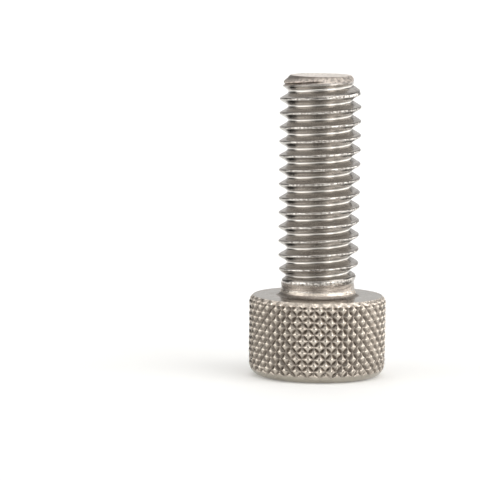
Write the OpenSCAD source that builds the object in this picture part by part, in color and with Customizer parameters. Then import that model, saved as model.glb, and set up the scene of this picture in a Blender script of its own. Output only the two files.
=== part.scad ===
// Knurled hex socket cap screw, metric coarse thread, threaded right up to a short plain neck.
// The screw stands on its head: the socket end of the head lies on z = 0, centred on the axis,
// and +Z runs along the axis towards the tip.

/* [Head] */
// Diameter over the points of the knurl
head_d = 9.8; // [8:0.05:12]
// Height from the socket end to the bearing face
head_h = 5.7; // [4.8:0.05:7]
// Width of the rounded rim at the socket end
rim_w = 0.85; // [0.3:0.05:1.2]
// Height of the rounded rim
rim_h = 1.15; // [0.5:0.05:1.6]
// Bevel of the rim at the bearing face
bearing_bevel = 0.3; // [0.1:0.05:0.5]

/* [Knurl] */
// Diamonds round the head
knurl_count = 36; // [28:1:46]
// Height of one diamond along the axis
knurl_rise = 0.87; // [0.6:0.01:1.2]
// Depth of the grooves below the points
knurl_depth = 0.22; // [0.1:0.02:0.36]
// Height above the socket end at which the grooves begin
knurl_base = 0.4; // [0.2:0.05:1.2]
// Height over which they sink to their full depth
knurl_fade = 0.65; // [0.1:0.05:1]
// Angle about the axis of one column of points
knurl_angle = 6; // [0:0.2:9]
// Height above the socket end of one point in that column
knurl_start = 0.4; // [0:0.02:1.2]

/* [Socket] */
// Width across the flats of the hexagon
socket_af = 5; // [3.5:0.1:6]
// Depth of the hexagon's flats
socket_depth = 3.1; // [2:0.1:3.4]
// How far the countersunk mouth reaches past the hexagon's corners
mouth_margin = 0.08; // [0.02:0.02:0.3]
// Half angle of the countersink and of the punch point at the bottom
point_angle = 60; // [50:1:70]

/* [Shank] */
// Length from the bearing face to the tip
shank_len = 15.7; // [8:0.1:24]
// Length from the bearing face to the end of the plain neck
neck_h = 0.93; // [0.6:0.05:2]
// How far the plain neck lies below the crests
neck_relief = 0.3; // [0.15:0.01:0.4]
// Height of the collar under the neck
collar_h = 0.36; // [0.32:0.02:0.5]
// How far the collar stands out from the neck
collar_step = 0.1; // [0.03:0.01:0.12]
// How far the underhead fillet reaches past the crests
fillet_margin = 0.05; // [0.02:0.01:0.1]

/* [Thread] */
// Major diameter
thread_d = 5.82; // [4.8:0.02:7]
// Pitch
pitch = 1; // [0.75:0.05:1.25]
// Angle about the axis at which a crest leaves the level of the bearing face
thread_angle = 215; // [0:5:355]
// Length over which the crests rise from the neck
crest_runout = 1.2; // [0.6:0.05:2]
// Length over which the grooves sink from the neck
root_runout = 0.55; // [0.3:0.05:1]

/* [Tip] */
// Diameter of the flat end
tip_d = 4.3; // [3:0.1:4.6]
// Height of the 45 degree bevel at the end
tip_bevel = 0.45; // [0.2:0.05:0.8]
// Height over which the first crests grow to full size above the bevel
lead_h = 1.15; // [0.5:0.05:2.5]
// Depth of the dish that rolling leaves in the end
dish_depth = 0.1; // [0.04:0.02:0.2]
// Width of the flat ring round the dish
dish_rim = 0.35; // [0.2:0.05:0.8]

/* [Hidden] */
$fn = 96;

// Screw thread form as shares of the pitch: flat crest, flat between the flanks, depth
crest_flat = 1 / 8;
root_flat = 1 / 6;
form_depth = 0.6134;

// Straight steps in one turn of the thread and in a quarter round of a rim
turn_steps = 48;
rim_steps = 8;
fillet_steps = 5;

// Turns of the thread body that lie inside the head below the bearing face
buried_turns = 1.25;
// How far a cutting or trimming body runs past the surface that it cuts
overrun = 0.4;

steel = [0.62, 0.60, 0.57];

crest_r = thread_d / 2;
root_r = crest_r - form_depth * pitch;
neck_r = crest_r - neck_relief;
collar_r = neck_r + collar_step;
fillet_r = crest_r + fillet_margin - collar_r;
tip_z = head_h + shank_len;
neck_z = head_h + neck_h;
collar_z = head_h + collar_h;
// The trimming profile of the head stays this far outside the points of the knurl
knurl_clear = 0.02;
trim_r = head_d / 2 + knurl_clear;
socket_corner_r = socket_af / 2 / cos(30);
mouth_r = socket_corner_r + mouth_margin;

// Points of a quarter round of width w and height h about the centre c, from angle a to b
function quarter(c, w, h, a, b, steps) =
    [for (i = [0:steps]) let (t = a + (b - a) * i / steps) c + [w * cos(t), h * sin(t)]];

// Share of the way from the plain neck to the full thread at height z
function rise(z, length) = max(0, min(1, (z - neck_z) / length));

// Depth of the knurl's grooves at height z
function groove(z) = knurl_depth * max(0, min(1, (z - knurl_base) / knurl_fade));

// Body with crossing left and right hand grooves at its side. The points lie on a
// grid of half diamonds: high and low ones take turns along each row and each column.
module knurled_body() {
    columns = 2 * knurl_count;
    step = knurl_rise / 2;
    base_z = knurl_start - knurl_rise * ceil((overrun + knurl_start) / knurl_rise);
    rows = ceil((collar_z + overrun - base_z) / step);
    side = [for (j = [0:rows]) for (i = [0:columns - 1])
        let (
            z = base_z + j * step,
            r = head_d / 2 - ((i + j) % 2 == 0 ? 0 : groove(z)),
            t = knurl_angle + 360 * i / columns
        )
        [r * cos(t), r * sin(t), z]];
    base = len(side);
    top = base + 1;
    points = concat(side, [[0, 0, base_z], [0, 0, base_z + rows * step]]);
    // Each cell is folded along the diagonal that joins its two low points
    cells = [for (j = [0:rows - 1]) for (i = [0:columns - 1])
        let (a = j * columns + i, b = j * columns + (i + 1) % columns, c = b + columns, d = a + columns)
        each (i + j) % 2 == 0 ? [[b, a, d], [b, d, c]] : [[a, d, c], [a, c, b]]];
    ends = [for (i = [0:columns - 1])
        let (next = (i + 1) % columns, last = rows * columns)
        each [[base, i, next], [top, last + next, last + i]]];
    polyhedron(points = points, faces = concat(cells, ends));
}

// Outline of the head with the underhead fillet and the collar, before the knurl
module head_blank() {
    fillet_c = [collar_r + fillet_r, head_h + fillet_r];
    rim = quarter([trim_r - rim_w, rim_h], rim_w, rim_h, -90, 0, rim_steps);
    fillet = quarter(fillet_c, fillet_r, fillet_r, 270, 180, fillet_steps);
    bevel = [[trim_r, head_h - bearing_bevel], [trim_r - bearing_bevel, head_h]];
    outline = concat([[0, 0]], rim, bevel, fillet, [[collar_r, collar_z], [0, collar_z]]);
    rotate_extrude() polygon(outline);
}

module head() {
    color(steel) intersection() {
        knurled_body();
        head_blank();
    }
}

// Right hand thread as one ribbon of points. Four levels make up each turn: the lower
// and upper edge of the crest, then the lower and upper edge of the root.
module thread_body() {
    levels = [-crest_flat / 2, crest_flat / 2, (1 - root_flat) / 2, (1 + root_flat) / 2];
    base_z = head_h - pitch * (buried_turns + thread_angle / 360);
    turns = ceil((tip_z + overrun - base_z) / pitch) + 1;
    last = 4 * turns;
    column = last + 1;
    side = [for (k = [0:turn_steps - 1]) for (q = [0:last])
        let (
            z = base_z + pitch * (floor(q / 4) + levels[q % 4] + k / turn_steps),
            r = q % 4 < 2
                ? neck_r + (crest_r - neck_r) * rise(z, crest_runout)
                : neck_r + (root_r - neck_r) * rise(z, root_runout),
            t = 360 * k / turn_steps
        )
        [r * cos(t), r * sin(t), z]];
    base = len(side);
    top = base + 1;
    points = concat(side, [
        [0, 0, base_z + pitch / 2],
        [0, 0, base_z + pitch * (turns + 0.5)]
    ]);
    end = (turn_steps - 1) * column;
    strips = [for (k = [0:turn_steps - 2]) for (q = [0:last - 1])
        let (a = k * column + q, b = a + column)
        each [[a, a + 1, b + 1], [a, b + 1, b]]];
    // After one turn the ribbon meets the turn above it
    seam = [for (q = [0:last - 5])
        let (a = end + q, b = q + 4)
        each [[a, a + 1, b + 1], [a, b + 1, b]]];
    lower = concat(
        [for (k = [0:turn_steps - 2]) [base, k * column, (k + 1) * column]],
        [[base, end, 4]],
        [for (q = [0:3]) [base, q + 1, q]]
    );
    upper = concat(
        [for (k = [0:turn_steps - 2]) [top, (k + 1) * column + last, k * column + last]],
        [[top, last, end + last - 4]],
        [for (q = [last - 4:last - 1]) [top, end + q, end + q + 1]]
    );
    polyhedron(points = points, faces = concat(strips, seam, lower, upper));
}

// Outline that gives the thread its flat end, its bevel and its growing first crests
module thread_blank() {
    bevel_r = tip_d / 2 + tip_bevel;
    lead_slope = (crest_r - bevel_r) / lead_h;
    lead_end = lead_h + overrun / lead_slope;
    rotate_extrude() polygon([
        [0, 0],
        [crest_r + overrun, 0],
        [crest_r + overrun, tip_z - tip_bevel - lead_end],
        [bevel_r, tip_z - tip_bevel],
        [tip_d / 2, tip_z],
        [0, tip_z]
    ]);
}

module shank() {
    color(steel) intersection() {
        thread_body();
        thread_blank();
    }
}

// Hexagon with a countersunk mouth and the cone that the punch leaves at the bottom
module socket_space() {
    flare = tan(point_angle);
    color(steel) {
        translate([0, 0, -overrun]) cylinder(h = socket_depth + overrun, r = socket_corner_r, $fn = 6);
        translate([0, 0, -overrun])
            cylinder(h = overrun + mouth_r / flare, r1 = mouth_r + overrun * flare, r2 = 0);
        translate([0, 0, socket_depth - overrun])
            cylinder(h = overrun + socket_af / 2 / flare, r1 = socket_af / 2 + overrun * flare, r2 = 0);
    }
}

// Shallow cone in the end of the thread
module end_dish() {
    dish_r = tip_d / 2 - dish_rim;
    slope = dish_r / dish_depth;
    color(steel) translate([0, 0, tip_z - dish_depth])
        cylinder(h = dish_depth + overrun, r1 = 0, r2 = dish_r + overrun * slope);
}

module cap_screw() {
    difference() {
        union() {
            head();
            shank();
        }
        socket_space();
        end_dish();
    }
}

cap_screw();
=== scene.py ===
import math
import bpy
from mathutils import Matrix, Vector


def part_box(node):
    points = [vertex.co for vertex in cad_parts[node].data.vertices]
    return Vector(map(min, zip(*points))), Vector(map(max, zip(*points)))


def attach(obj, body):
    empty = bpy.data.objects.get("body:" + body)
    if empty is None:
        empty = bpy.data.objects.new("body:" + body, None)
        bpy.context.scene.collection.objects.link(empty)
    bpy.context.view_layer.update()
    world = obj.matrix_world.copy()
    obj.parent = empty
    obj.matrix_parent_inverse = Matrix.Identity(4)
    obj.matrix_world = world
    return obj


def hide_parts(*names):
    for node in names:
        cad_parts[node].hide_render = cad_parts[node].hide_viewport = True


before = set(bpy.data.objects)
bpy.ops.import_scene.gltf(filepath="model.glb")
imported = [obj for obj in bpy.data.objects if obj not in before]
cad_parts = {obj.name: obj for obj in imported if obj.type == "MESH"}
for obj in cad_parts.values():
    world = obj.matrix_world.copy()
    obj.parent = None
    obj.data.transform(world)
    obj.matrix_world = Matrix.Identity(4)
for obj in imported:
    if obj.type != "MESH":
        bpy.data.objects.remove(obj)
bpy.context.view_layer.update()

from types import SimpleNamespace

import bpy
import numpy as np
from bpy.props import FloatProperty, FloatVectorProperty, IntProperty, PointerProperty
from mathutils import Matrix, Vector, noise

bl_info = {
    "name": "Knurled Cap Screw",
    "version": (1, 0, 0),
    "blender": (4, 5, 0),
    "location": "3D View > Sidebar > Cap Screw",
    "description": "Builds a knurled hex socket cap screw with a rolled thread, and its stage",
    "category": "Object",
}

NODE_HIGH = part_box("cap_screw")[1]
MM = 0.001
TURN = 2 * math.pi

# Lengths among these constants are in millimetres, except where a comment says metres.

# Form of the metric thread, as shares of the pitch
CREST_FLAT = 1 / 8
ROOT_EDGE = 3 / 8
THREAD_DEPTH = 0.6134
ROOT_RADIUS = 0.1443
FLANK_RISE = math.sqrt(3)
CREST_ROUNDING = 0.03

# Mesh points from a root up to the next crest, as shares of the pitch
FLANK_LEVELS = (0.04, 0.075, 0.11, 0.16, 0.23, 0.3, 0.36, 0.405, 0.44, 0.472)

# Mesh points round the socket, and mesh steps in half a diamond of the knurl
SOCKET_STEPS = 120
KNURL_STEPS = 6

# Half angle of the socket's countersink and of the punch point at its bottom
POINT_ANGLE = math.radians(60)
PUNCH_ROUGHNESS = 0.03

# Mesh rows round the rim and the fillet, in degrees of a quarter round
RIM_ANGLES = (0, 13, 22, 30, 37, 43, 48, 53)
FILLET_ANGLES = (12, 28, 45, 62, 78, 90)

# Shares of the rim's height at which the rows begin to follow the knurl, and its own steel ends
LATTICE_FROM, RIM_END = 0.3, 0.42

# How far below the bearing face those rows end, and the share of the bevel that has its own steel, painted
# brighter as a highlight
LATTICE_CLEAR, EDGE_SHARE = 0.04, 0.8

# Marks of the knurling wheels. Reaches and the slip's offset are in diamonds, the slip's places in
# radians, and the rest in millimetres or shares.
GROOVE_ROUND = 0.006
PIT_ROUND, PIT_REACH = 0.03, 0.15
SIDE_CURVE = 1.4
GROOVE_UNEVEN = 0.18
GROOVE_BLEND = 0.035
SLIP_OFFSET, SLIP_DEPTH, SLIP_BLEND = 0.42, 0.5, 0.01
SLIP_LOW, SLIP_HIGH = 1.3, 2.1
SLIP_PLACES = {"right": 1.9, "left": 3.4}
KNURL_SEED = 7
POINT_WEAR, POINT_REACH, POINT_BLEND = 0.014, 0.12, 0.02
POINT_ROWS = 40
# Reach of the painted shade and grime in the knurl's grooves
GROOVE_SHADE_REACH = 0.26

# The blank lies this far outside the side, and blends into the knurl over this length
BLANK_MARGIN = 0.012
BLANK_BLEND = 0.06

# Shoulder of the collar, from its side in to the neck: share of the step, height above its top
COLLAR_SHOULDER = ((0.04, -0.1), (0.22, -0.065), (0.5, -0.015), (0.78, 0.04), (0.92, 0.075), (1, 0.11))
COLLAR_UNEVEN = 0.02

# Rolling draws the thread out along the axis, most of all in its first turn
DRAWN_SHARE = 0.01
DRAWN_TIP, DRAWN_FROM, DRAWN_TO = 0.1, 1.6, 0.5

# The crests taper towards the neck, and the groove ends as a faint line and a fine ridge across it
TAPER, TAPER_FROM, TAPER_LENGTH = 0.05, 5.5, 8
FAINT_LINE = 0.04
RIDGE, RIDGE_DROP, RIDGE_WIDTH = 0.016, 0.12, 0.035

# Thin lip that the groove's start leaves of the bevel: its radius, how much wider the limit is at the
# other side and below, and how far under the tip it ends
LIP_RADIUS, LIP_ASIDE, LIP_BELOW = 2.33, 0.6, 0.8
LIP_FROM, LIP_TO = 0.75, 0.5

# Crease where the first turn folded over
CREASE_DEPTH, CREASE_WIDTH = 0.19, 0.065

# The thread's ribbon starts this far above the collar and ends this far below the tip. Below a level
# this far above the neck its rows are squeezed.
RIBBON_LOW, RIBBON_TOP, SQUEEZE_FROM = 0.14, 0.02, 0.02

# How far the sheared end reaches below the tip, at these shares of a turn, and its steel below that
SLAB_TURNS = (0, 0.5, 0.75, 1)
SLAB_HEIGHTS = (0.3, 0.7, 0.36, 0.3)
SLAB_MARGIN = 0.1

# Unevenness of the crests, of the tip's rim and of the sheared end. Crests are torn between two
# heights above the bearing face.
CREST_WEAR, CREST_WAVE = 0.006, 0.007
TIP_WEAR, TIP_WAVE, TIP_REACH = 0.02, 0.06, 0.9
TORN_DEPTH = 0.035
TORN_LOW, TORN_HIGH, TORN_FADE = 1.0, 2.7, 0.3
END_DIPS, END_GRAIN, END_DROP = 0.05, 0.02, 0.012

# Edges that turn by more than this stay sharp
SMOOTH_BELOW = math.radians(50)

# Off the thread, how fast a mark's track runs up the axis and round it
PLAIN_RISE, PLAIN_ROUND = 3, 7

# Noise scales of the steel's marks: how many lie in a metre
CLOUDS, SPECKS, STAINS = 900.0, 4200.0, 1500.0
TORN_DOTS, LUMPS, GRIT, SHEEN = 6500.0, 4600.0, 9000.0, 2300.0

# Stretch of the rolled lines along the thread and across it
TRACK_STRETCH = (0.35, 26.0, 1.0)

# Heights of the marks, in metres
GRIT_HEIGHT, LUMP_HEIGHT, LINE_HEIGHT = 0.00002, 0.00008, 0.00003

# What sets the steel of each zone of the skin apart. The material slots follow this order.
# Darkening in the hollows, by their depth and in the knurl's grooves, is painted shade as well as grime.
STEELS = {
    # The thread's roots are painted lighter: burnish and a painted highlight along each root
    "thread": dict(tint=(0.89, 0.885, 0.875), mottle=0.12, grime_and_shade=0.0, streaks=0.55, burnish_and_highlight=0.7,
                   # Its bright dots on the torn crests are painted glints, its dark dots a darker tone
                   glints_and_dots=0.8, lines=0.3, grain=0.04),
    "knurl": dict(tint=(1.12, 1.07, 0.99), roughness=0.22, mottle=0.5, grime_and_shade=0.9),
    "face": dict(tint=(1.0, 0.98, 0.95), mottle=0.7),
    "socket": dict(roughness=0.45, mottle=1.0, grime_and_shade=0.9),
    "tip": dict(tint=(1.85, 1.76, 1.7), roughness=0.36, mottle=1.5, grime_and_shade=1.0, pits=1.0, grain=0.8),
    "neck": dict(tint=(0.82, 0.765, 0.715), roughness=0.3, mottle=1.0, grime_and_shade=0.8, streaks=0.95,
                 lines=0.9, grain=0.5),
    # The edge steel is painted far brighter: a painted highlight on the bearing face's bevel and the
    # collar's shoulder
    "edge": dict(tint=(1.95, 1.85, 1.72), roughness=0.32, mottle=0.35, pits=0.5, grain=0.4),
    "end": dict(tint=(1.85, 1.81, 1.79), roughness=0.42, mottle=0.5, pits=0.55, grain=0.8),
    "rim": dict(tint=(0.99, 0.975, 0.91), roughness=0.25, mottle=0.9, grime_and_shade=0.9),
}

# Bright areas of the studio's air as the screw sees them: azimuth, half width, elevation, half height,
# strength and softness, with angles in degrees. Azimuth is zero towards the camera and grows to the
# right. The low one keeps the bearing face from going black where it is seen from behind.
WINDOWS = {
    "left": (-66, 32, 0, 16, 3.5, 10),
    "right_strip": (38, 11, 0, 16, 7.4, 9),
    "right": (102, 32, 0, 16, 3.4, 10),
    "front_strip": (14, 8, 0, 14, 0.2, 7),
    "high_left": (-62, 42, 38, 16, 1.1, 10),
    "high_front_right": (22, 18, 40, 18, 0.9, 10),
    "high_right": (66, 26, 40, 18, 2.5, 10),
    "high_front": (0, 22, 44, 14, 0.5, 10),
    "ceiling": (5, 100, 82, 8, 3.2, 5),
    "low_front": (0, 26, 13, 4, 0.5, 4),
}

# Pale walls behind the screw: half width, its softness, elevation, half height, its softness, strength
WALLS = {
    "high": (35, 15, 44, 32, 12, 0.8),
    "low": (24, 10, 8, 10, 6, 0.4),
}

# Strength of the air elsewhere, and the colour of all of it
DIM_AIR = 0.03
AIR_COLOUR = (1.0, 0.99, 0.975)

# The floor, in metres: half its width, how far it lies under the screw, and how many grains to a metre
FLOOR_REACH, FLOOR_DROP, FLOOR_GRAIN = 3.0, 0.00002, 900.0


# Settings

class ScrewSizes(bpy.types.PropertyGroup):
    """Sizes of the screw and its mesh, as in the solid model but for the knurl's lower end and columns"""
    head_d: FloatProperty(name="Head diameter", description="Over the points of the knurl",
                          default=2 * NODE_HIGH[0], unit="LENGTH", precision=5)
    head_h: FloatProperty(name="Head height", description="From the socket end to the bearing face",
                          default=0.0057, unit="LENGTH", precision=5)
    rim_w: FloatProperty(name="Rim width", description="Rounded rim at the socket end",
                         default=0.00085, unit="LENGTH", precision=5)
    rim_h: FloatProperty(name="Rim height", description="Rounded rim at the socket end",
                         default=0.00115, unit="LENGTH", precision=5)
    bearing_bevel: FloatProperty(name="Bearing bevel", description="Bevel of the rim at the bearing face",
                                 default=0.0003, unit="LENGTH", precision=5)
    knurl_count: IntProperty(name="Knurl count", description="Diamonds round the head", default=36)
    knurl_rise: FloatProperty(name="Knurl rise", description="Height of one diamond",
                              default=0.00087, unit="LENGTH", precision=5)
    knurl_depth: FloatProperty(name="Knurl depth", description="Depth of the grooves",
                               default=0.00022, unit="LENGTH", precision=5)
    knurl_base: FloatProperty(name="Knurl base", description="Height at which the skin's grooves begin",
                              default=0.00015, unit="LENGTH", precision=5)
    knurl_fade: FloatProperty(name="Knurl fade", description="Height over which they reach full depth",
                              default=0.00035, unit="LENGTH", precision=5)
    knurl_angle: FloatProperty(name="Knurl angle", description="Angle of one column of points",
                               default=math.radians(6.0), unit="ROTATION")
    knurl_start: FloatProperty(name="Knurl start", description="Height of one point in that column",
                               default=0.0004, unit="LENGTH", precision=5)
    socket_af: FloatProperty(name="Across flats", description="Width of the hexagon",
                             default=0.005, unit="LENGTH", precision=5)
    socket_depth: FloatProperty(name="Socket depth", description="Depth of the hexagon's flats",
                                default=0.0031, unit="LENGTH", precision=5)
    mouth_margin: FloatProperty(name="Mouth margin", description="Countersink past the corners",
                                default=0.00008, unit="LENGTH", precision=5)
    neck_h: FloatProperty(name="Neck height", description="Plain neck above the bearing face",
                          default=0.00093, unit="LENGTH", precision=5)
    neck_relief: FloatProperty(name="Neck relief", description="Neck surface below the crests",
                               default=0.0003, unit="LENGTH", precision=5)
    collar_h: FloatProperty(name="Collar height", description="Collar under the neck",
                            default=0.00036, unit="LENGTH", precision=5)
    collar_step: FloatProperty(name="Collar step", description="Collar outside the neck",
                               default=0.0001, unit="LENGTH", precision=5)
    fillet_margin: FloatProperty(name="Fillet margin", description="Fillet past the crests",
                                 default=0.00005, unit="LENGTH", precision=5)
    thread_d: FloatProperty(name="Thread diameter", description="Major diameter",
                            default=0.00582, unit="LENGTH", precision=5)
    pitch: FloatProperty(name="Pitch", description="Axial distance between turns",
                         default=0.001, unit="LENGTH", precision=5)
    thread_angle: FloatProperty(name="Thread angle",
                                description="Where a crest leaves the bearing face's level",
                                default=math.radians(215), unit="ROTATION")
    crest_runout: FloatProperty(name="Crest run-out", description="Length over which the crests rise",
                                default=0.0012, unit="LENGTH", precision=5)
    root_runout: FloatProperty(name="Root run-out", description="Length over which the grooves sink",
                               default=0.00055, unit="LENGTH", precision=5)
    columns: IntProperty(name="Columns", description="Mesh points in one turn of the thread", default=144)
    tip_d: FloatProperty(name="Tip diameter", description="Flat end of the thread",
                         default=0.0043, unit="LENGTH", precision=5)
    tip_bevel: FloatProperty(name="Tip bevel", description="Height of the bevel at the end",
                             default=0.00045, unit="LENGTH", precision=5)
    lead_h: FloatProperty(name="Lead height", description="Height over which the first crests grow",
                          default=0.00115, unit="LENGTH", precision=5)
    dish_depth: FloatProperty(name="Dish depth", description="Dish that rolling leaves in the end",
                              default=0.0001, unit="LENGTH", precision=5)
    dish_rim: FloatProperty(name="Dish rim", description="Ring round the dish",
                            default=0.00035, unit="LENGTH", precision=5)


class SteelFinish(bpy.types.PropertyGroup):
    """Colours and roughness of the stainless steel"""
    bright: FloatVectorProperty(name="Bright steel", description="Colour of the clean metal",
                                subtype="COLOR", size=3, min=0, max=1, default=(0.50, 0.474, 0.446))
    dull: FloatVectorProperty(name="Dull steel", description="Colour of the mottled metal",
                              subtype="COLOR", size=3, min=0, max=1, default=(0.37, 0.343, 0.314))
    # The grime colour also paints shade into the hollows, grooves and crease.
    grime_and_shade: FloatVectorProperty(name="Grime", description="Colour of what stays in the hollows",
                               subtype="COLOR", size=3, min=0, max=1, default=(0.16, 0.135, 0.115))
    # Lighter colour of the roots and of the torn crests' bright dots: burnish and painted highlights
    polish_and_highlight: FloatVectorProperty(name="Polished steel", description="Where rolling burnished the roots",
                                  subtype="COLOR", size=3, min=0, max=1, default=(0.72, 0.695, 0.66))
    pit: FloatVectorProperty(name="Pits", description="Small hollows of the sheared tip",
                             subtype="COLOR", size=3, min=0, max=1, default=(0.26, 0.225, 0.205))
    roughness: FloatProperty(name="Roughness", description="Mean roughness", default=0.21,
                             min=0, max=1, subtype="FACTOR")


class StageSettings(bpy.types.PropertyGroup):
    """Floor and camera"""
    distance: FloatProperty(name="Camera distance", description="From the point that it looks at",
                            default=0.237, unit="LENGTH")
    elevation: FloatProperty(name="Camera elevation", description="Above the horizon",
                             default=math.radians(6.6), unit="ROTATION")
    roll: FloatProperty(name="Camera roll", description="Lean of the screw in the picture",
                        default=math.radians(0.7), unit="ROTATION")
    lens: FloatProperty(name="Focal length", description="On a 36 mm sensor, in millimetres", default=250)
    aim_x: FloatProperty(name="Aim X", description="Point that the camera looks at",
                         default=-0.00558, unit="LENGTH")
    aim_z: FloatProperty(name="Aim Z", description="Point that the camera looks at",
                         default=0.00957, unit="LENGTH")
    floor_colour: FloatVectorProperty(name="Floor", description="Colour of the floor", subtype="COLOR",
                                      size=3, min=0, max=1, default=(0.93, 0.93, 0.92))
    floor_glow: FloatProperty(name="Floor glow", description="Light that comes through the floor",
                              default=0.17, min=0)


NOT_LENGTHS = ("knurl_count", "knurl_angle", "thread_angle", "columns")


def sizes_in_mm(sizes):
    """The settings, with lengths in millimetres, and the radii and heights that follow from them."""
    s = SimpleNamespace()
    for name in sizes.__annotations__:
        value = getattr(sizes, name)
        setattr(s, name, value if name in NOT_LENGTHS else value / MM)
    s.side_r = s.head_d / 2
    s.flat_r = s.side_r - s.rim_w
    s.mouth_r = s.socket_af / 2 / math.cos(math.pi / 6) + s.mouth_margin
    s.crest_r = s.thread_d / 2
    s.neck_r = s.crest_r - s.neck_relief
    s.neck_z = s.head_h + s.neck_h
    s.collar_r = s.neck_r + s.collar_step
    s.collar_z = s.head_h + s.collar_h
    s.fillet_r = s.crest_r + s.fillet_margin - s.collar_r
    s.bevel_r = s.tip_d / 2 + s.tip_bevel
    s.tip_z = NODE_HIGH[2] / MM
    return s


# Skin of the screw

def height_noise(points, scale, seed=0.0):
    """Smooth noise at each point, about -1 to 1, with features 1 / scale long."""
    shift = Vector((seed, 1.7 * seed, -0.6 * seed))
    return np.fromiter((noise.noise(Vector(p) * scale + shift) for p in points), float, len(points))


def soft_min(a, b, blend):
    """The lesser of two radii, rounded over the length blend where they meet."""
    share = np.clip(0.5 + 0.5 * (b - a) / blend, 0, 1)
    return b + (a - b) * share - blend * share * (1 - share)


def ease(value, low, high):
    """Smooth step from 0 at low to 1 at high."""
    t = np.clip((value - low) / (high - low), 0, 1)
    return t * t * (3 - 2 * t)


def bell(off, width):
    """Round bump, 1 in the middle and near 0 at twice the width."""
    return np.exp(-(off / width) ** 2)


def angles(count):
    """So many even steps round the axis."""
    return np.arange(count) * TURN / count


def on_circle(radius, angle, z):
    """Points at an angle, or at each of many, at a radius and a height."""
    return np.stack([radius * np.cos(angle), radius * np.sin(angle), z + 0 * angle], -1)


class Skin:
    """Points and faces of the screw's surface, in millimetres, and what the steel needs to know."""

    def __init__(self):
        self.points, self.hollow = [], []
        self.faces, self.tracks, self.zones = [], [], []

    def add(self, points, hollow=0.0):
        """Keep points with how deep each lies in a hollow, from 0 to 1, which sets painted shade and
        grime, and return their numbers.
        """
        first = len(self.points)
        self.points.extend(map(tuple, points))
        self.hollow.extend(np.broadcast_to(hollow, len(points)).tolist())
        return np.arange(first, first + len(points))

    def face(self, ids, zone, track=None):
        """One face, with its corners' places along the thread where it lies on it."""
        self.faces.append(ids)
        self.zones.append(zone)
        self.tracks.append(track)

    def join(self, near, far, zone):
        """Four-sided faces between two rings with as many points each."""
        n = len(near)
        for i in range(n):
            j = (i + 1) % n
            self.face((near[i], near[j], far[j], far[i]), zone)

    def stitch(self, near, far, zone):
        """Triangles between two rings that differ in count."""
        n, m, i, j = len(near), len(far), 0, 0
        while i < n or j < m:
            if j < m and (i == n or (j + 1) * n <= (i + 1) * m):
                self.face((near[i % n], far[(j + 1) % m], far[j]), zone)
                j += 1
            else:
                self.face((near[i], near[(i + 1) % n], far[j % m]), zone)
                i += 1

    def cap(self, ring, centre, zone, closing):
        """Triangles from a ring to a point: the skin begins there, or closes there."""
        for i in range(len(ring)):
            j = (i + 1) % len(ring)
            self.face((ring[i], ring[j], centre) if closing else (centre, ring[j], ring[i]), zone)


def hexagon_radius(angle, across_flats):
    """Distance from the axis to the hexagon's side at an angle."""
    return across_flats / 2 / np.cos(np.mod(angle, TURN / 6) - TURN / 12)


def add_socket(skin, s):
    """Cone, flats and countersunk mouth of the hexagon. Returns the ring at the mouth."""
    angle = angles(SOCKET_STEPS)
    flare = math.tan(POINT_ANGLE)
    cone_r = s.socket_af / 2
    # The socket's points lie deep in the hollow, so the steel paints them darker: painted shade and grime
    apex = skin.add([(0, 0, s.socket_depth + cone_r / flare)], 1.0)[0]
    ring = None
    for share in (0.12, 0.3, 0.5, 0.7, 0.88, 0.985):
        r = cone_r * share
        pts = on_circle(r, angle, s.socket_depth + (cone_r - r) / flare)
        pts[:, 2] += PUNCH_ROUGHNESS * height_noise(pts, 2.5, 4.0) * (1 - share) ** 0.3
        new = skin.add(pts, 1.0)
        if ring is None:
            skin.cap(new, apex, "socket", closing=False)
        else:
            skin.join(ring, new, "socket")
        ring = new
    wall_r = hexagon_radius(angle, s.socket_af)
    mouth_z = (s.mouth_r - wall_r) / flare
    for share in (0, 0.05, 0.2, 0.4, 0.6, 0.8, 0.92, 1):
        z = s.socket_depth + (mouth_z - s.socket_depth) * share
        new = skin.add(on_circle(wall_r, angle, z), 1 - 0.6 * share)
        skin.join(ring, new, "socket")
        ring = new
    mouth = skin.add(on_circle(s.mouth_r, angle, 0.0), 0.1)
    skin.join(ring, mouth, "face")
    return mouth


def knurl_angles(s):
    """Angles of the mesh points round the knurl, which begin at a column of its points."""
    return s.knurl_angle + angles(2 * KNURL_STEPS * s.knurl_count)


def wheel_marks(s):
    """How unevenly the two wheels cut: each groove's depth, each point's wear, and where they slipped."""
    rng = np.random.default_rng(KNURL_SEED)
    return {
        "right": rng.uniform(0, GROOVE_UNEVEN, s.knurl_count),
        "left": rng.uniform(0, GROOVE_UNEVEN, s.knurl_count),
        "worn": rng.uniform(0, POINT_WEAR, (POINT_ROWS, 2 * s.knurl_count)),
        "slip": SLIP_PLACES,
    }


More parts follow.
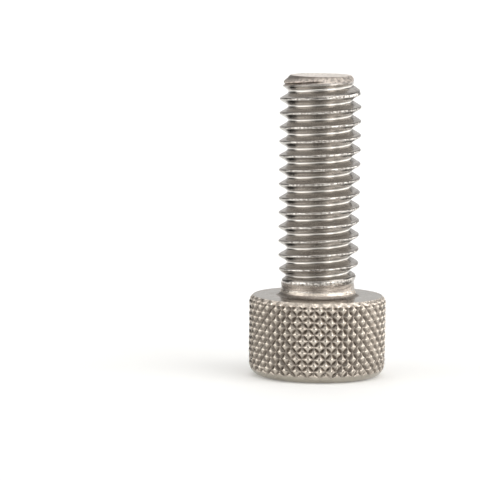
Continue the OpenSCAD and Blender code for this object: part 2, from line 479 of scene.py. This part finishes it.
def knurl_relief(angle, z, s, marks):
    """Radius of the knurled side, and the painted shade and grime that lie in its grooves, from 0 to 1."""
    u = (angle - s.knurl_angle) / TURN * s.knurl_count
    v = (z - s.knurl_start) / s.knurl_rise
    across = 1 / math.hypot(s.knurl_count / (math.pi * s.head_d), 1 / s.knurl_rise)
    fade = np.clip((z - s.knurl_base) / s.knurl_fade, 0, 1)
    # Each groove is a crisp V that opens into a rounder pit where it meets another
    crossing = np.hypot(np.mod(u + v, 1) - 0.5, np.mod(u - v, 1) - 0.5)
    round_r = GROOVE_ROUND + PIT_ROUND * bell(crossing, PIT_REACH)

    def groove(way, share):
        off = np.abs(np.mod(way, 1) - 0.5) * across
        reach = 0.5 * across * np.maximum(share, 0.02) ** 0.8
        side = np.clip(1 - (np.sqrt(off ** 2 + round_r ** 2) - 0.5 * round_r) / reach, 0, 1)
        return s.knurl_depth * share * side ** SIDE_CURVE

    cut = None
    for way, family in ((u + v, "right"), (u - v, "left")):
        uneven = marks[family][np.floor(way).astype(int) % s.knurl_count]
        deep = groove(way, fade * (1 - uneven))
        # Where the wheel slipped it left a second, shallow track beside the first
        slip = ease(np.sin(2 * angle + marks["slip"][family]), 0.2, 0.7)
        slip = slip * (1 - ease(z, SLIP_LOW, SLIP_HIGH)) * fade
        deep = -soft_min(-deep, -groove(way + SLIP_OFFSET, SLIP_DEPTH * slip), SLIP_BLEND)
        cut = deep if cut is None else -soft_min(-cut, -deep, GROOVE_BLEND)
    # The points between the grooves are worn, each by its own amount
    near_u, near_v = np.round(u + v), np.round(u - v)
    row, column = (near_u - near_v).astype(int), (near_u + near_v).astype(int)
    worn = marks["worn"][row % POINT_ROWS, column % (2 * s.knurl_count)]
    away = np.hypot(u + v - near_u, u - v - near_v)
    pit = POINT_WEAR * bell(away, POINT_REACH) + worn * fade
    cut = -soft_min(-cut, 0 * cut - pit, POINT_BLEND)
    # Painted shade and grime lie in lens shaped patches between the crossings
    lens = 1 - bell(crossing, GROOVE_SHADE_REACH)
    low = 0.3 - 0.16 * lens
    grime_and_shade = ease(cut / s.knurl_depth - low, 0.0, 0.45) * (0.76 + 0.24 * lens)
    return s.side_r - np.maximum(cut, 0), grime_and_shade


def knurl_rows(s):
    """Heights of the mesh rows up the head's side, each with its place in the lattice, if it has one."""
    step = s.knurl_rise / 2 / KNURL_STEPS
    first = math.ceil((LATTICE_FROM * s.rim_h - s.knurl_start) / step)
    last = math.floor((s.head_h - LATTICE_CLEAR - s.knurl_start) / step)
    low_z = first * step + s.knurl_start - 0.3 * step
    rim = [s.rim_h * (1 - math.cos(t)) for t in np.radians(RIM_ANGLES)]
    rows = [(z, None) for z in rim if z < low_z]
    rows += [(i * step + s.knurl_start, i) for i in range(first, last + 1)]
    rows.append((s.head_h, None))
    return rows


def head_row(z, angle, s, marks):
    """Radius round the head at height z, and the painted shade and grime there: rounded rim, knurled side
    and bevel.
    """
    radius, grime_and_shade = knurl_relief(angle, np.full(len(angle), z), s, marks)
    if z == 0:
        return np.full(len(angle), s.flat_r), grime_and_shade
    if z == s.head_h:
        return np.full(len(angle), s.side_r - s.bearing_bevel), grime_and_shade
    blank = s.side_r
    if z < s.rim_h:
        blank = s.flat_r + s.rim_w * math.sqrt(1 - (1 - z / s.rim_h) ** 2)
    blank = min(blank, s.side_r - s.bearing_bevel + (s.head_h - z)) + BLANK_MARGIN
    # Shallow ends of the grooves run on over the rim
    trace = 0.4 * (s.side_r - radius) * float(ease(z, 0.3, 0.85))
    radius = soft_min(radius, blank - trace, BLANK_BLEND)
    grime_and_shade = grime_and_shade * np.clip((blank - radius + 0.03) / 0.1, 0, 1)
    return np.minimum(radius, s.side_r), grime_and_shade


def fold_cells(skin, ring, new, level, zone):
    """Two triangles to a cell, folded along the family of grooves that runs through it."""
    v = (level - 0.5) / (2 * KNURL_STEPS)
    for i in range(len(ring)):
        j = (i + 1) % len(ring)
        u = (i + 0.5) / (2 * KNURL_STEPS)
        if abs(u + v - round(u + v)) > abs(u - v - round(u - v)):
            skin.face((ring[i], ring[j], new[i]), zone)
            skin.face((ring[j], new[j], new[i]), zone)
        else:
            skin.face((ring[i], ring[j], new[j]), zone)
            skin.face((ring[i], new[j], new[i]), zone)


def add_flat_end(skin, s, ring):
    """Flat ring round the socket's mouth. Returns its outer ring."""
    width = s.flat_r - s.mouth_r
    for share in (0.08, 0.35, 0.65):
        new = skin.add(on_circle(s.mouth_r + width * share, angles(SOCKET_STEPS), 0.0))
        skin.join(ring, new, "face")
        ring = new
    new = skin.add(on_circle(s.mouth_r + width * 0.9, knurl_angles(s), 0.0))
    skin.stitch(ring, new, "face")
    return new


def add_knurl(skin, s, ring):
    """Rounded rim, knurled side and bevel of the head. Returns the ring at the bearing face."""
    angle = knurl_angles(s)
    marks = wheel_marks(s)
    below = None
    for z, level in knurl_rows(s):
        radius, grime_and_shade = head_row(z, angle, s, marks)
        new = skin.add(on_circle(radius, angle, z), grime_and_shade)
        # The bevel takes the edge steel, painted brighter as a highlight
        if z > s.head_h - EDGE_SHARE * s.bearing_bevel:
            zone = "edge"
        else:
            zone = "knurl" if z > RIM_END * s.rim_h else "rim"
        if level is None or below is None:
            skin.join(ring, new, zone)
        else:
            fold_cells(skin, ring, new, level, zone)
        ring, below = new, level
    return ring


def add_bearing_face(skin, s, ring):
    """Bearing face and the fillet inside it. Returns the ring at the top of the fillet."""
    outer, inner = s.side_r - s.bearing_bevel, s.collar_r + s.fillet_r
    for share in (0.06, 0.5):
        new = skin.add(on_circle(outer + (inner - outer) * share, knurl_angles(s), s.head_h))
        skin.join(ring, new, "face")
        ring = new
    angle = angles(s.columns)
    # The fillet's rings count as partly in a hollow, so the steel paints shade and grime into the corner
    # at the bearing face
    new = skin.add(on_circle(inner, angle, s.head_h), 0.2)
    skin.stitch(ring, new, "face")
    ring = new
    for t in np.radians(FILLET_ANGLES):
        z = s.head_h + s.fillet_r * (1 - math.cos(t))
        new = skin.add(on_circle(inner - s.fillet_r * math.sin(t), angle, z), 0.5)
        skin.join(ring, new, "neck")
        ring = new
    return ring


def add_collar(skin, s, ring):
    """Shoulder of the collar, which slopes in to the neck. Returns the ring on the neck."""
    for share, above in COLLAR_SHOULDER:
        pts = on_circle(s.collar_r - share * s.collar_step, angles(s.columns), s.collar_z + above)
        pts[:, 2] += COLLAR_UNEVEN * height_noise(pts, 3.0, 2.0)
        new = skin.add(pts, 0.1)
        # The shoulder's side takes the edge steel, painted brighter as a highlight
        skin.join(ring, new, "neck" if share == 1 else "edge")
        ring = new
    return ring


def thread_form(share, pitch):
    """Depth below the crest at a share of the pitch from the crest's middle, -0.5 to 0.5."""
    away = np.abs(share)
    flank = away - CREST_FLAT / 2
    flank = FLANK_RISE * 0.5 * (flank + np.sqrt(flank ** 2 + CREST_ROUNDING ** 2))
    root = THREAD_DEPTH - ROOT_RADIUS + np.sqrt(np.maximum(0, ROOT_RADIUS ** 2 - (0.5 - away) ** 2))
    return np.where(away < ROOT_EDGE, flank, root) * pitch


def slab_height(angle):
    """How far the sheared end reaches below the tip: a low band at the right, a thick lip at the left."""
    return np.interp(np.mod(angle, TURN) / TURN, SLAB_TURNS, SLAB_HEIGHTS)


def tip_limit(angle, z, s):
    """Greatest radius near the tip: the bevel, and the first crests that grow from it."""
    bevel = s.tip_d / 2 + (s.tip_z - z)
    lead = s.bevel_r + (s.tip_z - s.tip_bevel - z) * (s.crest_r - s.bevel_r) / s.lead_h
    limit = soft_min(bevel, lead, 0.05)
    # At one side the groove's start leaves only a thin lip of the bevel
    facing = np.clip(np.cos(angle), 0, 1) ** 2
    under = 1 - ease(z, s.tip_z - LIP_FROM, s.tip_z - LIP_TO)
    lip = LIP_RADIUS + LIP_ASIDE * (1 - facing) + LIP_BELOW * under
    return soft_min(limit, lip, 0.04)


def tip_crease(angle, z, s):
    """Crease under the sheared end, from 0 to 1: it runs down from the front to the left."""
    quarter = np.mod(-math.pi / 2 - angle, TURN) / (math.pi / 2)
    off = z - (s.tip_z - slab_height(angle))
    return bell(off, CREASE_WIDTH) * ease(quarter, -0.1, 0.1) * (1 - ease(quarter, 1.0, 1.4))


def thread_radius(angle, z, s):
    """Radius of the rolled thread at an angle and a height, and its depth from 0 to 1."""
    middle = (s.tip_z + s.neck_z) / 2
    drawn = DRAWN_SHARE * (z - middle) + DRAWN_TIP * ease(z, s.tip_z - DRAWN_FROM, s.tip_z - DRAWN_TO)
    start = s.head_h - s.pitch * s.thread_angle / TURN
    share = (z - drawn - start) / s.pitch - angle / TURN
    depth = thread_form(share - np.round(share), s.pitch)
    taper = TAPER * np.clip((s.tip_z - TAPER_FROM - z) / TAPER_LENGTH, 0, 1)
    full = s.crest_r - taper - depth
    deep = depth / (THREAD_DEPTH * s.pitch)
    # Crests rise and grooves sink from the neck, each over a length of its own
    grown = np.clip((z - s.neck_z) / (s.crest_runout * (1 - deep) + s.root_runout * deep), 0, 1)
    grown = grown * grown * (3 - 2 * grown) * 0.4 + grown * 0.6
    radius = s.neck_r + (full - s.neck_r) * grown
    line = FAINT_LINE * deep * ease(z, s.neck_z - 0.5, s.neck_z - 0.05)
    ridge = RIDGE * bell(z - s.neck_z + RIDGE_DROP, RIDGE_WIDTH)
    radius = radius + (ridge - line) * (1 - grown)
    radius = soft_min(radius, tip_limit(angle, z, s), 0.02)
    crease = tip_crease(angle, z, s)
    # The crease counts as a hollow, so the steel paints shade and grime into it
    return radius - CREASE_DEPTH * crease, np.maximum(deep * grown, crease)


def roughen(pts, deep, s):
    """Small unevenness that rolling leaves: wavy and torn crests, and a torn rim at the tip."""
    radius, angle = np.hypot(pts[:, 0], pts[:, 1]), np.arctan2(pts[:, 1], pts[:, 0])
    crest = np.clip(1 - 3 * deep, 0, 1)
    near_tip = np.clip(1 - (s.tip_z - pts[:, 2]) / TIP_REACH, 0, 1)
    wave = height_noise(pts, 1.1, 3.0) * 0.5 + height_noise(pts, 3.6, 8.0) * 0.5
    wear = (CREST_WEAR + CREST_WAVE * wave) * crest + near_tip * (TIP_WEAR + TIP_WAVE * wave)
    # The last crests before the neck are torn at the front
    low = pts[:, 2] - s.head_h
    torn = ease(low, TORN_LOW, TORN_LOW + TORN_FADE) * (1 - ease(low, TORN_HIGH - TORN_FADE, TORN_HIGH))
    torn = torn * np.clip(-np.sin(angle), 0, 1) * crest
    wear = wear + torn * TORN_DEPTH * np.clip(0.3 + height_noise(pts, 5.0, 11.0), 0, 1)
    out = pts.copy()
    out[:, :2] *= ((radius - wear) / np.maximum(1e-6, radius))[:, None]
    return out


def level_ends(z, s):
    """Heights of one column of the ribbon, squeezed at both ends so that all columns end level."""
    low_z, low_end = s.collar_z + RIBBON_LOW, s.neck_z + SQUEEZE_FROM
    top_z, top_start = s.tip_z - RIBBON_TOP, s.tip_z - s.tip_bevel
    low = low_end - (low_end - z) * (low_end - low_z) / (low_end - z[0])
    top = top_start + (z - top_start) * (top_z - top_start) / (z[-1] - top_start)
    return np.where(z > top_start, top, np.where(z < low_end, low, z))


def add_thread(skin, s, ring):
    """Neck and thread as one long ribbon of turns. Returns the ring at the tip's edge."""
    shares = np.array(FLANK_LEVELS)
    # From one root up over the crest to the next root
    levels = np.concatenate([[0], shares, [0.5], 1 - shares[::-1]])
    per_turn = len(levels)
    start = s.head_h - s.pitch * (s.thread_angle / TURN + 0.5)
    base_turn = math.floor((s.neck_z + SQUEEZE_FROM - 0.4 * s.pitch - start) / s.pitch)
    top_turn = math.ceil((s.tip_z - s.tip_bevel + 0.3 * s.pitch - start) / s.pitch)
    steps = np.arange((top_turn - base_turn) * per_turn + 1)
    heights = start + s.pitch * (base_turn + steps // per_turn + levels[steps % per_turn])
    last = len(steps) - 1
    ids = np.zeros((s.columns, len(steps)), int)
    for k, angle in enumerate(angles(s.columns)):
        z = level_ends(heights + s.pitch * k / s.columns, s)
        around = np.full(len(steps), angle)
        radius, deep = thread_radius(around, z, s)
        ids[k] = skin.add(roughen(on_circle(radius, around, z), deep, s), deep)
    skin.join(ring, ids[:, 0], "thread")
    for k, angle in enumerate(angles(s.columns)):
        side = (k + 1) % s.columns
        # After one turn the ribbon meets the turn above it
        lift = per_turn if side == 0 else 0
        slab_z = s.tip_z - slab_height(angle) - SLAB_MARGIN
        for i in range(last - lift):
            height = skin.points[ids[k, i]][2]
            low_zone = "neck" if height < s.neck_z else "thread"
            zone = "tip" if height > slab_z else low_zone
            corners = (ids[k, i], ids[side, i + lift], ids[side, i + 1 + lift], ids[k, i + 1])
            skin.face(corners, zone, ribbon_track(i, k, levels, s))
    for i in range(per_turn):
        skin.face((ids[-1, 0], ids[0, i], ids[0, i + 1]), "thread")
        j = last - per_turn + i
        skin.face((ids[-1, j], ids[0, last], ids[-1, j + 1]), "tip")
    return ids[:, last]


def ribbon_track(step, column, levels, s):
    """Places of a face's corners along and across the thread, in millimetres."""
    turn, level = divmod(step, len(levels))
    above = levels[level + 1] if level + 1 < len(levels) else 1
    v0, v1 = levels[level] * s.pitch, above * s.pitch
    u0, u1 = (TURN * s.crest_r * (turn + place / s.columns) for place in (column, column + 1))
    return (u0, v0), (u1, v0), (u1, v1), (u0, v1)


def add_tip(skin, s, ring):
    """Rounded edge, flat ring and dish at the end of the thread."""
    angle = angles(s.columns)
    edge = np.array([skin.points[i] for i in ring])
    edge_r = np.hypot(edge[:, 0], edge[:, 1])
    dish_r = s.tip_d / 2 - s.dish_rim
    calm = 1 - 0.6 * np.clip(np.cos(angle), 0, 1)
    for share, drop in ((0.25, 0.006), (0.6, 0.0), (1.0, END_DROP)):
        pts = on_circle(edge_r + (dish_r - edge_r) * share, angle, s.tip_z - drop)
        dips = END_DIPS * np.clip(0.6 + height_noise(pts, 1.3, 5.0), 0, 2)
        uneven = np.maximum(0, dips + END_GRAIN * height_noise(pts, 3.5, 9.0))
        pts[:, 2] -= uneven * (1 - 0.4 * share) * calm
        new = skin.add(pts, 0.1)
        skin.join(ring, new, "end")
        ring = new
    for share in (0.85, 0.65, 0.45, 0.25, 0.1):
        z = s.tip_z - s.dish_depth * (1 - share ** 2) - END_DROP
        pts = on_circle(dish_r * share, angle, z)
        pts[:, 2] -= END_DROP * (1 + height_noise(pts, 2.4, 5.0))
        new = skin.add(pts, 0.15)
        skin.join(ring, new, "end")
        ring = new
    centre = skin.add([(0, 0, s.tip_z - s.dish_depth - 0.02)], 0.15)[0]
    skin.cap(ring, centre, "end", closing=True)


def screw_mesh(s):
    """The whole closed skin, from the bottom of the socket over the head and the thread to the tip."""
    skin = Skin()
    ring = add_socket(skin, s)
    for add_part in (add_flat_end, add_knurl, add_bearing_face, add_collar, add_thread):
        ring = add_part(skin, s, ring)
    add_tip(skin, s, ring)

    mesh = bpy.data.meshes.new("knurled_cap_screw")
    points = (np.array(skin.points) * MM).tolist()
    mesh.from_pydata(points, [], [tuple(int(i) for i in face) for face in skin.faces])
    slots = list(STEELS)
    mesh.polygons.foreach_set("material_index", [slots.index(zone) for zone in skin.zones])
    hollow = mesh.attributes.new("hollow", "FLOAT", "POINT")
    hollow.data.foreach_set("value", np.array(skin.hollow, dtype=np.float32))
    track = mesh.uv_layers.new(name="along_the_thread")
    corners = []
    for face, path in zip(skin.faces, skin.tracks):
        corners += [value for place in path or plain_track(face, skin) for value in place]
    track.data.foreach_set("uv", np.array(corners, dtype=np.float32))
    mesh.validate(verbose=False)
    mesh.polygons.foreach_set("use_smooth", [True] * len(mesh.polygons))
    mesh.set_sharp_from_angle(angle=SMOOTH_BELOW)
    mesh.update()
    return mesh


def plain_track(face, skin):
    """Places of the corners of a face off the thread: up and out, and round the axis."""
    places = []
    for i in face:
        x, y, z = skin.points[i]
        places.append((math.hypot(x, y) + PLAIN_RISE * z, PLAIN_ROUND * math.atan2(abs(y), x)))
    return places


# Steel

class Board:
    """Short ways to place and link the nodes of one material or world."""

    def __init__(self, tree):
        self.tree = tree
        tree.nodes.clear()

    def feed(self, socket, value):
        """Link a node or a socket to an input, or set a plain value on it."""
        if hasattr(value, "outputs"):
            value = value.outputs[0]
        if isinstance(value, bpy.types.NodeSocket):
            self.tree.links.new(value, socket)
        else:
            socket.default_value = value

    def node(self, kind, inputs=None, **settings):
        """A node with its settings. Its inputs go by name, or by place where their names repeat."""
        made = self.tree.nodes.new(kind)
        for name, value in settings.items():
            setattr(made, name, value)
        for key, value in (inputs or {}).items():
            self.feed(made.inputs[key], value)
        return made

    def math(self, operation, a, b=0.0, clamp=False):
        """A sum, product or function of one or two values."""
        return self.node("ShaderNodeMath", {0: a, 1: b}, operation=operation, use_clamp=clamp)

    def times(self, a, b, clamp=False):
        """Product of two values."""
        return self.math("MULTIPLY", a, b, clamp)

    def plus(self, a, b, clamp=False):
        """Sum of two values."""
        return self.math("ADD", a, b, clamp)

    def noise(self, vector, scale, detail=3.0, rough=0.55):
        """Clouded noise, about 0.3 to 0.7."""
        return self.node("ShaderNodeTexNoise", {"Vector": vector, "Scale": scale, "Detail": detail,
                                                "Roughness": rough})

    def spread(self, value, low, high, to_low=0.0, to_high=1.0):
        """The value with low to high stretched over 0 to 1, or over other ends, and held there."""
        ends = {0: value, 1: low, 2: high, 3: to_low, 4: to_high}
        return self.node("ShaderNodeMapRange", ends, clamp=True)

    def blend(self, share, a, b):
        """From colour a to colour b by a share."""
        return self.node("ShaderNodeMix", {0: share, 6: a, 7: b}, data_type="RGBA").outputs[2]

    def bump(self, strength, distance, height, normal=None):
        """Bump on top of another, if there is one."""
        inputs = {"Strength": strength, "Distance": distance, "Height": height}
        if normal is not None:
            inputs["Normal"] = normal
        return self.node("ShaderNodeBump", inputs)


def rgba(colour):
    """The colour with a fourth value, as colour sockets take it."""
    return (*colour, 1.0)


def rolled_lines(board):
    """Noise drawn out along the thread."""
    track = board.node("ShaderNodeUVMap", uv_map="along_the_thread").outputs["UV"]
    long_track = board.node("ShaderNodeMapping", {"Vector": track, "Scale": TRACK_STRETCH},
                            vector_type="POINT")
    return board.noise(long_track, 1.0, 4.0, 0.65)


def mottling(board, place, amount):
    """Share of dull metal: wide clouds with finer specks among them."""
    cloud = board.spread(board.noise(place, CLOUDS, 4.0, 0.6), 0.38, 0.66)
    speck = board.spread(board.noise(place, SPECKS, 3.0, 0.6), 0.42, 0.62)
    return board.times(board.plus(board.times(cloud, 0.6), board.times(speck, 0.4)), amount)


def shade_and_stains(board, place, hollow, amount):
    """Share of grime and painted shade, which lie in the hollows in uneven patches."""
    uneven = board.spread(board.noise(place, STAINS), 0.3, 0.6, 0.75, 1.0)
    return board.times(board.times(board.spread(hollow, 0.15, 0.9), amount), uneven, clamp=True)


def torn_glints_and_dots(board, place, hollow, amount):
    """Shares of painted glints and of darker metal, in dots on the torn crests."""
    crest = board.times(board.spread(hollow, 0.1, 0.02), amount)
    torn = board.noise(place, TORN_DOTS, 2.0, 0.6)
    lit = board.times(crest, board.spread(torn, 0.5, 0.57))
    dim = board.times(crest, board.spread(torn, 0.45, 0.38))
    return lit, dim


def uneven_roughness(board, place, hollow, mean, by_depth):
    """Roughness that varies in patches and grows with the depth of the hollows."""
    sheen = board.times(board.spread(board.noise(place, SHEEN), 0.35, 0.7), 0.12)
    return board.plus(board.plus(mean - 0.09, sheen), board.times(hollow, by_depth), clamp=True)


def steel(zone, finish, tint=(1, 1, 1), roughness=None, mottle=0.5, grime_and_shade=0.5, streaks=0.0, burnish_and_highlight=0.0,
          glints_and_dots=0.0, pits=0.0, lines=0.0, grain=0.3):
    """Stainless steel of one zone, with as much of each mark as the zone has."""
    material = bpy.data.materials.new(zone + "_steel")
    material.use_nodes = True
    board = Board(material.node_tree)
    place = board.node("ShaderNodeTexCoord").outputs["Object"]
    hollow = board.node("ShaderNodeAttribute", attribute_name="hollow").outputs["Fac"]
    bright, dull = (rgba([c * t for c, t in zip(metal, tint)]) for metal in (finish.bright, finish.dull))
    grime_and_shade_colour, polish_and_highlight = rgba(finish.grime_and_shade), rgba(finish.polish_and_highlight)

    colour = board.blend(mottling(board, place, mottle), bright, dull)
    # Darker in the hollows: painted shade and grime
    colour = board.blend(shade_and_stains(board, place, hollow, grime_and_shade), colour, grime_and_shade_colour)
    bump = board.bump(grain, GRIT_HEIGHT, board.noise(place, GRIT, 3.0, 0.6))
    streak = rolled_lines(board) if streaks or lines else None
    if streaks:
        worn = board.times(board.spread(streak, 0.48, 0.62), streaks, clamp=True)
        colour = board.blend(worn, colour, grime_and_shade_colour)
    # The roots are painted lighter: burnish and a painted highlight along each root
    if burnish_and_highlight:
        root_polish_and_highlight = board.times(board.spread(hollow, 0.94, 1.0), burnish_and_highlight)
        colour = board.blend(root_polish_and_highlight, colour, polish_and_highlight)
    # Painted glints and darker dots on the torn crests
    if glints_and_dots:
        lit, dim = torn_glints_and_dots(board, place, hollow, glints_and_dots)
        colour = board.blend(lit, colour, polish_and_highlight)
        colour = board.blend(dim, colour, grime_and_shade_colour)
    if pits:
        lumps = board.noise(place, LUMPS, 4.0, 0.65)
        dark = board.times(board.spread(lumps, 0.47, 0.6), 0.75 * pits, clamp=True)
        colour = board.blend(dark, colour, rgba(finish.pit))
        bump = board.bump(pits, LUMP_HEIGHT, lumps, bump)
    if lines:
        bump = board.bump(lines, LINE_HEIGHT, streak, bump)

    mean = finish.roughness if roughness is None else roughness
    rough = uneven_roughness(board, place, hollow, mean, 0.12 * grime_and_shade + 0.03 * burnish_and_highlight)
    shader = board.node("ShaderNodeBsdfPrincipled", {"Base Color": colour, "Metallic": 1.0,
                                                     "Roughness": rough, "Normal": bump})
    board.node("ShaderNodeOutputMaterial", {"Surface": shader})
    return material


# Stage

def pale_floor(stage):
    """Large plain sheet just under the screw, which gives off a little light of its own."""
    signs = ((-1, -1), (1, -1), (1, 1), (-1, 1))
    corners = [(x * FLOOR_REACH, y * FLOOR_REACH, -FLOOR_DROP) for x, y in signs]
    mesh = bpy.data.meshes.new("pale_floor")
    mesh.from_pydata(corners, [], [(0, 1, 2, 3)])
    paint = bpy.data.materials.new("pale_floor")
    paint.use_nodes = True
    board = Board(paint.node_tree)
    place = board.node("ShaderNodeTexCoord").outputs["Object"]
    colour = rgba(stage.floor_colour)
    shader = board.node("ShaderNodeBsdfPrincipled", {
        "Base Color": colour, "Roughness": 0.9,
        "Emission Color": colour, "Emission Strength": stage.floor_glow,
        "Normal": board.bump(0.03, 0.0001, board.noise(place, FLOOR_GRAIN)),
    })
    board.node("ShaderNodeOutputMaterial", {"Surface": shader})
    mesh.materials.append(paint)
    return bpy.data.objects.new("pale_floor", mesh)


def studio_air():
    """Dim surroundings with soft windows, a paler ceiling and pale walls behind."""
    world = bpy.data.worlds.new("studio_air")
    world.use_nodes = True
    board = Board(world.node_tree)
    place = board.node("ShaderNodeTexCoord").outputs["Generated"]
    toward = board.node("ShaderNodeSeparateXYZ", {"Vector": place}).outputs
    around = board.math("ARCTAN2", toward["X"], board.times(toward["Y"], -1.0))
    above = board.math("ARCSINE", toward["Z"])
    behind = board.math("SUBTRACT", math.pi, board.math("ABSOLUTE", around))

    def within(angle, middle, half, soft):
        """Share of being near the middle of a range of angles, given in degrees."""
        off = board.math("ABSOLUTE", board.math("SUBTRACT", angle, math.radians(middle)))
        return board.spread(off, math.radians(half + soft), math.radians(max(half - soft, 0)))

    light = DIM_AIR
    for half_width, soft, elevation, half_height, soft_height, strength in WALLS.values():
        lit = board.times(within(behind, 0, half_width, soft),
                          within(above, elevation, half_height, soft_height))
        light = board.plus(light, board.times(lit, strength))
    for azimuth, half_width, elevation, half_height, strength, soft in WINDOWS.values():
        lit = board.times(within(around, azimuth, half_width, soft),
                          within(above, elevation, half_height, soft))
        light = board.plus(light, board.times(lit, strength))
    shade = board.node("ShaderNodeBackground", {"Color": rgba(AIR_COLOUR), "Strength": light})
    board.node("ShaderNodeOutputWorld", {"Surface": shade})
    return world


def overhead_softbox():
    """Wide soft lamp above and behind the screw, turned down to the floor."""
    place, aim = Vector((0.0, 0.55, 0.8)), Vector((0.0, 0.45, 0.0))
    data = bpy.data.lights.new("overhead_softbox", "AREA")
    data.shape, data.size, data.size_y = "RECTANGLE", 1.6, 1.3
    data.energy = 2.6
    light = bpy.data.objects.new("overhead_softbox", data)
    light.location = place
    light.rotation_euler = (aim - place).to_track_quat("-Z", "Y").to_euler()
    return light


def photo_camera(stage):
    """Camera in front of the screw and a little above it, leaning as in the picture."""
    tilt, turn = stage.elevation, stage.roll
    back = Vector((0.0, -math.cos(tilt), math.sin(tilt)))
    side = Vector((1.0, 0.0, 0.0))
    up = back.cross(side)
    side, up = math.cos(turn) * side + math.sin(turn) * up, math.cos(turn) * up - math.sin(turn) * side
    data = bpy.data.cameras.new("photo_camera")
    data.lens, data.sensor_width = stage.lens, 36.0
    data.clip_start, data.clip_end = 0.01, 20.0
    camera = bpy.data.objects.new("photo_camera", data)
    turned = Matrix((side, up, back)).transposed().to_4x4()
    turned.translation = Vector((stage.aim_x, 0.0, stage.aim_z)) + stage.distance * back
    camera.matrix_world = turned
    return camera


# Operators

class CAPSCREW_OT_screw(bpy.types.Operator):
    """Build the screw's skin, give it its steel and put it in the place of the solid"""
    bl_idname = "capscrew.screw"
    bl_label = "Build the cap screw"

    def execute(self, context):
        scene = context.scene
        mesh = screw_mesh(sizes_in_mm(scene.capscrew_sizes))
        if not mesh.polygons:
            raise RuntimeError("The screw's skin came out empty")
        for zone, traits in STEELS.items():
            mesh.materials.append(steel(zone, scene.capscrew_finish, **traits))
        screw = bpy.data.objects.new("knurled_cap_screw", mesh)
        scene.collection.objects.link(screw)
        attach(screw, "root")
        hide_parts("cap_screw")
        return {"FINISHED"}


class CAPSCREW_OT_stage(bpy.types.Operator):
    """Lay the floor and set up the camera, the lights and the studio's air"""
    bl_idname = "capscrew.stage"
    bl_label = "Set the stage"

    def execute(self, context):
        scene = context.scene
        sheet = pale_floor(scene.capscrew_stage)
        camera = photo_camera(scene.capscrew_stage)
        for thing in (sheet, overhead_softbox(), camera):
            scene.collection.objects.link(thing)
        scene.camera = camera
        scene.world = studio_air()
        scene.view_settings.view_transform = "Standard"
        return {"FINISHED"}


class CAPSCREW_PT_panel(bpy.types.Panel):
    """Sizes, finish and stage of the cap screw"""
    bl_label = "Cap Screw"
    bl_space_type = "VIEW_3D"
    bl_region_type = "UI"
    bl_category = "Cap Screw"

    def draw(self, context):
        layout, scene = self.layout, context.scene
        for title, group in (("Sizes", scene.capscrew_sizes), ("Finish", scene.capscrew_finish),
                             ("Stage", scene.capscrew_stage)):
            box = layout.box()
            box.label(text=title)
            for name in group.__annotations__:
                box.prop(group, name)
        layout.operator(CAPSCREW_OT_screw.bl_idname)
        layout.operator(CAPSCREW_OT_stage.bl_idname)


CLASSES = (ScrewSizes, SteelFinish, StageSettings, CAPSCREW_OT_screw, CAPSCREW_OT_stage, CAPSCREW_PT_panel)


def register():
    for cls in CLASSES:
        bpy.utils.register_class(cls)
    bpy.types.Scene.capscrew_sizes = PointerProperty(type=ScrewSizes)
    bpy.types.Scene.capscrew_finish = PointerProperty(type=SteelFinish)
    bpy.types.Scene.capscrew_stage = PointerProperty(type=StageSettings)


def unregister():
    for name in ("capscrew_sizes", "capscrew_finish", "capscrew_stage"):
        delattr(bpy.types.Scene, name)
    for cls in reversed(CLASSES):
        bpy.utils.unregister_class(cls)


def main():
    register()
    bpy.ops.capscrew.screw()
    bpy.ops.capscrew.stage()


if __name__ == "__main__":
    main()
